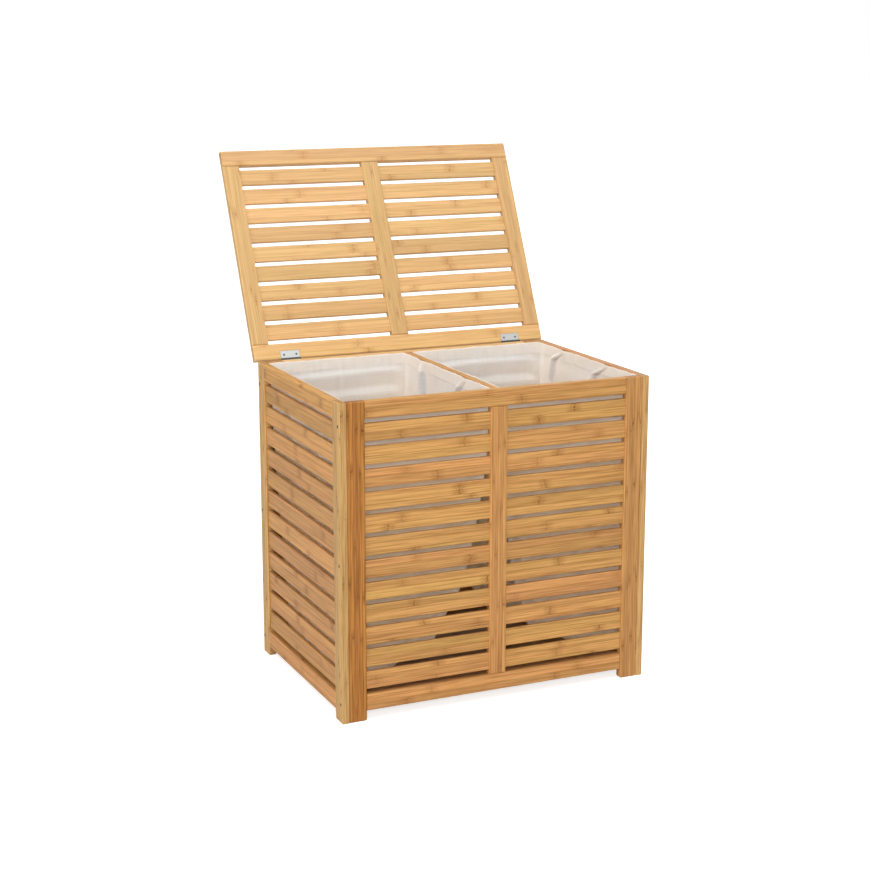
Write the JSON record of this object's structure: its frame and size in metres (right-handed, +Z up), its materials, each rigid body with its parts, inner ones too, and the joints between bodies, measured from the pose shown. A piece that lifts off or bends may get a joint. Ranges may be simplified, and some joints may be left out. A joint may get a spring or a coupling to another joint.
{
  "type": "laundry hamper with two bins",
  "caption": "Slatted bamboo laundry box on stile feet, with two fabric bins side by side and a slatted lid on butt hinges that opens to a stop.",
  "frame": {"origin": "on the floor, under the middle of the whole outline with the lid open", "axes": "+Z up, +X to the right along the front, +Y from the front panel to the hinged rear panel"},
  "size_m": [0.638, 0.648, 0.9982],
  "materials": {
    "frame": "lacquered bamboo, satin",
    "slats": "lacquered bamboo, satin",
    "lid": "lacquered bamboo, satin, paler",
    "base": "plain board, unlacquered",
    "liner": "off-white plain weave cotton",
    "hinges": "bright zinc-plated steel"
  },
  "bodies": {
    "box": {"front_left_stile": "frame", "front_right_stile": "frame", "front_top_rail": "frame", "front_bottom_rail": "frame", "front_mullion_and_slats": "slats", "rear_right_stile": "frame", "rear_left_stile": "frame", "rear_top_rail": "frame", "rear_bottom_rail": "frame", "rear_mullion_and_slats": "slats", "left_rear_stile": "frame", "left_front_stile": "frame", "left_top_rail": "frame", "left_bottom_rail": "frame", "left_slat_01": "slats", "left_slat_02": "slats", "left_slat_03": "slats", "left_slat_04": "slats", "left_slat_05": "slats", "left_slat_06": "slats", "left_slat_07": "slats", "left_slat_08": "slats", "left_slat_09": "slats", "left_slat_10": "slats", "left_slat_11": "slats", "left_slat_12": "slats", "right_front_stile": "frame", "right_rear_stile": "frame", "right_top_rail": "frame", "right_bottom_rail": "frame", "right_slat_01": "slats", "right_slat_02": "slats", "right_slat_03": "slats", "right_slat_04": "slats", "right_slat_05": "slats", "right_slat_06": "slats", "right_slat_07": "slats", "right_slat_08": "slats", "right_slat_09": "slats", "right_slat_10": "slats", "right_slat_11": "slats", "right_slat_12": "slats", "divider_rail": "frame", "base_board": "base", "left_liner": "liner", "right_liner": "liner", "hinge_left_box_leaf": "hinges", "hinge_left_pin": "hinges", "hinge_right_box_leaf": "hinges", "hinge_right_pin": "hinges"},
    "lid": {"lid_right_stile": "lid", "lid_left_stile": "lid", "lid_front_rail": "lid", "lid_rear_rail": "lid", "lid_mullion_and_slats": "lid", "hinge_left_lid_leaf": "hinges", "hinge_right_lid_leaf": "hinges"}
  },
  "joints": [
    {"name": "lid_hinge", "type": "hinge", "parent": "box", "child": "lid", "pos_m": [0, 0.11769, 0.5984], "axis": [1, 0, 0], "range_deg": [0, 115.5]}
  ]
}
